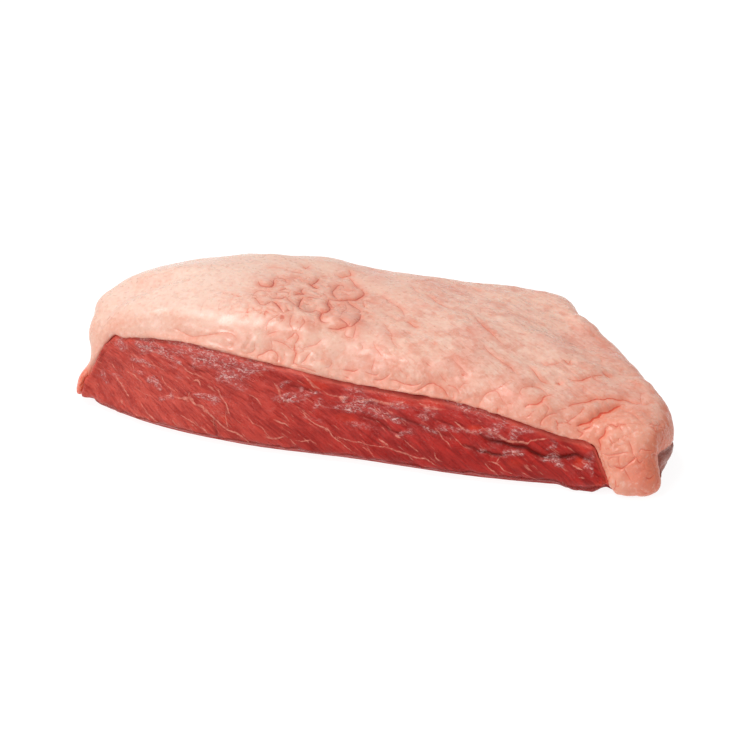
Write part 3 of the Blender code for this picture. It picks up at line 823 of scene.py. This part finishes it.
    (0.7, ((103, -58, 27), (104, -58, 26), (106, -59, 26), (105, -60, 25), (104, -60, 24))),
    (0.8, ((106, -58, 27), (108, -57, 28), (109, -56, 30))),
    (1, ((116, -56, 30), (115, -57, 29), (115, -59, 28), (114, -60, 26), (113, -60, 24),
        (114, -61, 22), (114, -63, 20))),
    (0.9, ((116, -55, 30), (118, -55, 31), (120, -56, 30), (121, -55, 31), (124, -54, 31))),
    (0.5, ((121, -55, 31), (122, -57, 30), (123, -58, 29))),
    (0.35, ((124, -54, 31), (127, -53, 31), (130, -52, 31), (132, -51, 31))),
    (0.6, ((122, -61, 26), (122, -61, 27))),
    (0.6, ((126, -61, 26), (127, -62, 25), (128, -63, 24), (129, -64, 22), (130, -64, 21))),
    (0.6, ((115, -63, 19), (117, -64, 19), (120, -64, 20), (123, -64, 21), (125, -64, 22),
        (127, -64, 22))),
    (0.6, ((132, -63, 23), (133, -62, 24), (135, -61, 23), (137, -59, 22))),
    (0.8, ((137, -60, 20), (138, -59, 20), (139, -53, 17))),
    (0.8, ((126, -66, 16), (128, -66, 18), (130, -65, 20), (131, -64, 21))),
    (0.7, ((131, -64, 21), (132, -65, 19), (133, -65, 18), (134, -64, 19))),
    (0.9, ((121, -66, 15), (124, -67, 15), (125, -67, 15), (127, -66, 17))),
    (0.5, ((123, -65, 20), (123, -66, 18), (124, -66, 16))),
    (0.6, ((126, -67, 15), (127, -67, 13), (129, -67, 10))),
    (0.5, ((118, -65, 17), (120, -65, 19), (122, -65, 19))),
    (0.5, ((118, -65, 16), (119, -65, 14), (121, -66, 14))),
    (0.9, ((135, -65, 12), (136, -64, 11), (138, -63, 12))),
    (0.5, ((137, -62, 18), (138, -61, 17), (139, -61, 14), (138, -63, 12))),
    (0.8, ((113, -62, 19), (114, -62, 20))),
    (0.4, ((135, -55, 29), (137, -55, 27), (139, -52, 22))),
    (0.5, ((126, -25, 32), (126, -29, 31), (128, -34, 32), (130, -34, 32), (132, -30, 31))),
    (0.5, ((124, -25, 32), (126, -25, 32), (128, -23, 32))),
    (0.4, ((120, -41, 31), (124, -44, 32), (128, -48, 31), (130, -50, 31))),
    (0.4, ((117, -51, 32), (121, -48, 32), (125, -49, 32))),
    # On the knob.
    (1.2, ((-140, -51, 10), (-138, -50, 11), (-137, -50, 13), (-138, -50, 15))),
    (0.9, ((-137, -48, 18), (-136, -50, 15), (-136, -48, 11), (-138, -46, 6))),
    (0.6, ((-134, -49, 21), (-134, -49, 17))),
)
# Where the fat ends along the trimmed face, in mm.
FRONT_EDGE = ((-130, -48, 26), (-125, -48, 33), (-112, -50, 39), (-100, -52, 42), (-84, -53, 43),
              (-69, -56, 43), (-58, -58, 42), (-46, -59, 40), (-35, -59, 39), (-24, -58, 36),
              (-12, -58, 34), (-1, -58, 33), (18, -58, 31), (46, -58, 31), (68, -58, 28),
              (90, -59, 24), (109, -62, 19))
BORDER = 13
# The knot of lobes and the soft part beside it, in plan: middle and half sizes.
KNOT = (-28, -20, 30, 25)
SOFT = (-52, -34, 30, 17)
# The middle and the tip of the tongue, and the pink toe of the knob on the left.
TONGUE = (124, -58, 18)
TONGUE_TIP = (136, -64, 13)
TOE = (-141, -48, 7)
# Soft swellings of the back right edge, the tongue's foot and the left shoulder: middle,
# radius and height.
FAT_SWELLINGS = (
    (91, 29.5, 36.5, 11, 2.1), (84, 36, 38.5, 10, 1.0), (137, -63, 5, 13, 2.2),
    (-139, -27, 40, 20, 0.8), (-134, -12, 44, 20, 0.8), (127, -14, 32, 9, 1.2),
    (123, -67, 4, 10, 1.6),
)


def lobes(points, size, seed):
    """Rounded lobes about `size` mm across: how far each point is from the seam between two."""
    shifted = (points / size + 31.7 * seed).tolist()
    gap = np.empty(len(points))
    for i, p in enumerate(shifted):
        here = Vector(p)
        middles = noise.voronoi(p)[1]
        own = middles[0]
        gap[i] = min((other - own).normalized().dot((other + own) / 2 - here)
                     for other in middles[1:])
    return np.maximum(gap, 0) * size


def from_middle(points, oval):
    """How far points are from the middle of an oval in plan, 1 at its rim."""
    x, y, half_x, half_y = oval
    return np.hypot((points[:, 0] - x) / half_x, (points[:, 1] - y) / half_y)


fat = even_copy("fat_cap", "fat_cap_skin", FAT_VOXEL)
mesh = fat.data
points = relaxed(mesh, places(mesh), FAT_SMOOTHING)
put(mesh, points)
mesh = thin_out(fat, ramp(-facing_out(points, facings(mesh)), 0.1, 0.3), FAT_KEPT)
points, out = places(mesh), facings(mesh)
edge = laid(FRONT_EDGE, surface_of(mesh))


def by_edge(points, out, width):
    """How near points are to the lower edge of the fat on the trimmed face, from 0 to 1."""
    near = np.zeros(len(points))
    close, best, _, _ = near_line(points, out, edge, 3 * width)
    near[close] = np.exp(-(best / width) ** 2)
    return near


# The knot, the tongue and the strip along the cut get a finer mesh.
strip = by_edge(points, out, BORDER) * (points[:, 0] > -90)
on_tongue = np.linalg.norm(points - np.array(TONGUE), axis=1) < 28
lively = (from_middle(points, KNOT) < 0.9) | on_tongue | (strip > 0.73)
mesh = made_finer(fat, lively & (facing_out(points, out) > 0))
points = relaxed(mesh, places(mesh), LAST_SMOOTHING)
put(mesh, points)
out = facings(mesh)
x, y, z = points.T

# The parts of the fat, each from 0 to 1.
showing = ramp(facing_out(points, out), -0.1, 0.35)
knot = 1 - ramp(from_middle(points, KNOT), 0.75, 1.35)
soft = 1 - ramp(from_middle(points, SOFT), 0.6, 1.1)
border = by_edge(points, out, BORDER) * ramp(x, -80, -45)
tongue = near_to(points, TONGUE, 18, 30)
toe = near_to(points, TOE, 6, 17)
right = ramp(x, -10, 25)
folded = ramp(x, 85, 105)

# The creases, drawn a little unevenly, and the lobes that fill the space between them.
drawn = points + 0.4 * along_skin(wandering(points, 6, (11, 12, 13)), out)
surface = surface_of(mesh)
crease_side, crease_force, crease, valley = traced(drawn, out, CREASES, surface, 2.4)
patchy = ramp(waves(points, 9, 21), -0.4, 0.3)
warped = points + 1.3 * wandering(points, 7, (22, 23, 24))
small = lobes(warped, SMALL_LOBE, 1)
large = lobes(warped, LARGE_LOBE, 2)
untraced = 1 - np.clip(1.6 * valley, 0, 0.85)
small_share = np.clip(0.75 * knot + 0.85 * tongue + 0.7 * soft, 0, 0.9)
small_share = small_share * (0.3 + 0.7 * patchy) * untraced
large_share = np.clip(0.8 * border + 0.25 * right + 0.35 * folded, 0, 0.85)
large_share = large_share * (0.15 + 0.85 * patchy) * untraced
pillow = small_share * (1 - np.clip(small / 2.2, 0, 1)) ** 2
pillow = np.maximum(pillow, large_share * (1 - np.clip(large / 3.4, 0, 1)) ** 2)
seam_share = np.maximum(small_share * (small < large), large_share * (large <= small))

# The relief: swells, pits, creases, seams between lobes, and slanting wrinkles on the right.
diagonal = np.stack([(x * 0.58 + y * 0.81), (x * 0.81 - y * 0.58), z], axis=1)
wrinkle = np.abs(waves(diagonal, (4.0, 17, 9), 26))
wrinkle = (1 - np.clip(wrinkle / 0.3, 0, 1)) ** 1.5 * right * (1 - 0.8 * tongue)
wrinkle *= ramp(waves(points, 14, 25), -0.1, 0.5)
swell = waves(points, 26, 27) * 0.45
swell += waves(points, 12, 28) * (0.12 + 0.16 * np.maximum(knot, border))
pits = waves(points, 3.2, 29) * (0.03 + 0.07 * np.clip(right + knot + border, 0, 1))
rise = swell + pits - FAT_INSET - CREASE_DEPTH * crease - VALLEY_DEPTH * valley
rise = rise - SEAM_DEPTH * pillow - WRINKLE_DEPTH * wrinkle
rise += EDGE_RISE * by_edge(points, out, 1.6) + TOE_RISE * toe + pushed(points, FAT_SWELLINGS)
shaped = points + out * (rise * showing)[:, None]
shaped[:, 2] = np.maximum(shaped[:, 2], 0)
put(mesh, shaped)
keep(mesh, crease_side=crease_side, crease_force=crease_force, valley=np.clip(valley, 0, 1),
     seam=np.minimum(small, large), seam_share=seam_share, pillow=pillow, diagonal=diagonal,
     right=right * (1 - 0.7 * tongue), lively=np.clip(right + knot + border + tongue, 0, 1),
     cream=ramp(-x, -40, 90), rim=by_edge(points, out, 3.0), tongue=tongue,
     tongue_tip=near_to(points, TONGUE_TIP, 3, 16), toe=toe, knot=knot, soft=soft,
     worn=np.clip(border * ramp(x, 0, 40) + 0.5 * folded, 0, 1),
     pale=ramp(-x, 10, 90) * ramp(out[:, 2], 0.6, 0.95),
     bulge=ramp(x, 124, 140) * ramp(out[:, 0], 0.3, 0.8))

CREAM, CREAM_LEFT = tint(225, 183, 164), tint(214, 169, 150)
PINK, PINK_LEFT = tint(220, 162, 145), tint(213, 157, 137)
PALE_TOP = tint(224, 194, 178)
BLUSH = tint(208, 134, 112)
SLANTING_BLUSH = tint(204, 130, 108)
PORE_RIM, PORE = tint(234, 204, 190), tint(206, 138, 118)
BY_CREASES, IN_KNOT = tint(218, 120, 92), tint(192, 112, 92)
GLEAM = tint(240, 208, 188)
CREASE_RED, CREASE_DARK = tint(204, 78, 52), tint(164, 60, 48)
# Each stain on the fat, and the painted shade on its side that faces right: its colour, the stored
# value that says where, and its strength.
STAINS = (
    (tint(206, 132, 110), "knot", 0.1),
    # Darker and pinker along the front edge on the right and over the folds.
    (tint(204, 118, 94), "worn", 0.38),
    (tint(218, 140, 114), "tongue", 0.55),
    (tint(222, 142, 120), "rim", 0.4),
    (tint(212, 98, 72), "tongue_tip", 0.55),
    # Painted shade on the side that faces right, at the right end.
    (tint(206, 108, 76), "bulge", 0.9),
    (tint(214, 82, 54), "toe", 0.9),
)

skin, tree, shader = new_material("creamy_beef_fat")
body = add(tree, "TexCoord").outputs["Object"]
cloud = speckle(tree, body, 38, 3, 0.5)
mottle = speckle(tree, body, 150, 3, 0.5)
drift = speckle(tree, stored(tree, "diagonal", "Vector"), 1.0, 4, 0.6, (0.8, 0.07, 0.3))
left = stored(tree, "cream")
lively = stored(tree, "lively")
right = stored(tree, "right")
colour = blended(tree, CREAM, CREAM_LEFT, left)
pinker = blended(tree, PINK, PINK_LEFT, left)
colour = blended(tree, colour, pinker, spread(tree, cloud, 0.4, 0.68, 0, 0.75))
# Painted light: faces on the left that look up are painted paler.
colour = stained(tree, colour, PALE_TOP, "pale", 0.8)
blush = times(tree, spread(tree, mottle, 0.46, 0.66), spread(tree, lively, 0, 1, 0.12, 0.5))
colour = blended(tree, colour, BLUSH, blush)
blush = times(tree, spread(tree, drift, 0.5, 0.68), times(tree, right, 0.45))
colour = blended(tree, colour, SLANTING_BLUSH, blush)
for stain, name, strength in STAINS:
    colour = stained(tree, colour, stain, name, strength)
pores = speckle(tree, body, 520, 2, 0.6)
colour = blended(tree, colour, PORE_RIM, spread(tree, pores, 0.5, 0.72, 0, 0.3))
colour = blended(tree, colour, PORE, spread(tree, pores, 0.5, 0.28, 0, 0.3))
# Pinker and darker round the creases and between the lobes: partly the fat's own pink, partly
# painted shade in the hollows. In the knot the painted shade is deeper.
halo = worked(tree, "MAXIMUM", times(tree, stored(tree, "valley"), 0.65),
              times(tree, stored(tree, "pillow"), 0.55))
colour = blended(tree, colour, BY_CREASES, halo)
halo = times(tree, stored(tree, "valley"), times(tree, stored(tree, "knot"), 0.45))
colour = blended(tree, colour, IN_KNOT, halo)
gleam = worked(tree, "SUBTRACT", speckle(tree, body, 330, 2, 0.55), 0.5)
gleam = spread(tree, worked(tree, "ABSOLUTE", gleam), 0.035, 0.01)
gleam = times(tree, gleam, spread(tree, mottle, 0.5, 0.6))
gleam = times(tree, gleam, spread(tree, stored(tree, "soft"), 0, 0.7, 0, 0.4))
colour = blended(tree, colour, GLEAM, gleam)
grit = speckle(tree, body, 800, 2, 0.5)
force = stored(tree, "crease_force")
width = times(tree, worked(tree, "SQRT", force), 0.46)
fold = thin_line(tree, stored(tree, "crease_side"), width, grit, 0.5)
depth = spread(tree, force, 0.1, 1.4, 0.3, 0.95)
seam = worked(tree, "MULTIPLY_ADD", worked(tree, "SUBTRACT", grit, 0.5), 0.4, stored(tree, "seam"))
seam_width = worked(tree, "MULTIPLY_ADD", stored(tree, "seam_share"), 0.6, -0.16)
seam = spread(tree, worked(tree, "SUBTRACT", seam_width, seam), 0.0, 0.3)
line = worked(tree, "MAXIMUM", times(tree, fold, depth), times(tree, seam, 0.6))
ink = stained(tree, CREASE_RED, CREASE_DARK, "knot", 0.8)
colour = blended(tree, colour, ink, line)
tree.links.new(colour, shader.inputs["Base Color"])
gloss = spread(tree, speckle(tree, body, 260, 2, 0.5), 0.35, 0.65, 0.25, 0.48)
tree.links.new(gloss, shader.inputs["Roughness"])
set_values(shader, Specular_IOR_Level=0.34, Subsurface_Weight=0.2,
           Subsurface_Radius=(1.0, 0.4, 0.26), Subsurface_Scale=1.4 * MM)
dimples = speckle(tree, body, 380, 1.5, 0.5)
height = worked(tree, "ADD", times(tree, mottle, 0.6), times(tree, dimples, 0.15))
height = worked(tree, "MULTIPLY_ADD", times(tree, drift, right), 0.5, height)
height = times(tree, height, spread(tree, lively, 0, 1, 0.4, 1.0))
height = worked(tree, "MULTIPLY_ADD", worked(tree, "MAXIMUM", fold, seam), -0.2, height)
relief = add(tree, "Bump", Strength=0.35, Distance=0.8 * MM)
tree.links.new(height, relief.inputs["Height"])
tree.links.new(relief.outputs["Normal"], shader.inputs["Normal"])
fat.data.materials.append(skin)
fat.data.shade_smooth()
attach(fat, "root")
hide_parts("fat_cap")

# ------------------------------------------------------------------------ floor
# A plain, nearly white studio sweep under the meat, so bright that only a faint shadow is left
# where the meat touches it.

FLOOR_HALF_M = 4.0
FLOOR_GLOW = 0.89
DARKER_GREY, LIGHTER_GREY = (0.2, 0.2, 0.2, 1), (0.22, 0.22, 0.22, 1)

floor = bpy.data.objects.new("floor", bpy.data.meshes.new("floor"))
corners = [(x * FLOOR_HALF_M, y * FLOOR_HALF_M, 0) for x, y in ((-1, -1), (1, -1), (1, 1), (-1, 1))]
floor.data.from_pydata(corners, [], [(0, 1, 2, 3)])
bpy.context.scene.collection.objects.link(floor)
paper, tree, shader = new_material("white_sweep")
grey = blended(tree, DARKER_GREY, LIGHTER_GREY,
               speckle(tree, add(tree, "TexCoord").outputs["Object"], 3, 3, 0.5))
tree.links.new(grey, shader.inputs["Base Color"])
set_values(shader, Roughness=0.9, Specular_IOR_Level=0.1, Emission_Color=(1, 1, 1, 1),
           Emission_Strength=FLOOR_GLOW)
floor.data.materials.append(paper)

# ------------------------------------------------------------- light and camera
# One broad soft light above and to the left, a smaller one from the front, and a white room.
# The camera looks down a little, from the right of the middle of the cut.

ROOM_LIGHT = 0.5
# Each light: name, place in m, width and length in m, power in W.
LIGHTS = (
    ("overhead_left", (-0.42, -0.12, 1.22), 0.58, 0.58, 10.6),
    ("front_left", (-0.7, -1.2, 0.95), 0.36, 0.26, 8.0),
)
AIM = Vector((0.0021, -0.0285, 0.025))
AZIMUTH = math.radians(16)
ELEVATION = math.radians(27)
DISTANCE_M = 0.83
LENS_MM = 85
SENSOR_MM = 36

world = bpy.data.worlds.new("white_room")
world.use_nodes = True
world.node_tree.nodes["Background"].inputs["Color"].default_value = (1, 1, 1, 1)
world.node_tree.nodes["Background"].inputs["Strength"].default_value = ROOM_LIGHT
bpy.context.scene.world = world

for name, place, width, length, power in LIGHTS:
    light = bpy.data.lights.new(name, "AREA")
    light.shape = "RECTANGLE"
    light.size = width
    light.size_y = length
    light.energy = power
    lamp = bpy.data.objects.new(name, light)
    bpy.context.scene.collection.objects.link(lamp)
    lamp.location = place
    lamp.rotation_euler = (AIM - Vector(place)).to_track_quat("-Z", "Y").to_euler()

back = Vector((math.sin(AZIMUTH) * math.cos(ELEVATION), -math.cos(AZIMUTH) * math.cos(ELEVATION),
               math.sin(ELEVATION)))
camera = bpy.data.objects.new("camera", bpy.data.cameras.new("camera"))
camera.data.lens = LENS_MM
camera.data.sensor_width = SENSOR_MM
camera.location = AIM + back * DISTANCE_M
camera.rotation_euler = back.to_track_quat("Z", "Y").to_euler()
bpy.context.scene.collection.objects.link(camera)
bpy.context.scene.camera = camera
bpy.context.scene.view_settings.view_transform = "Standard"
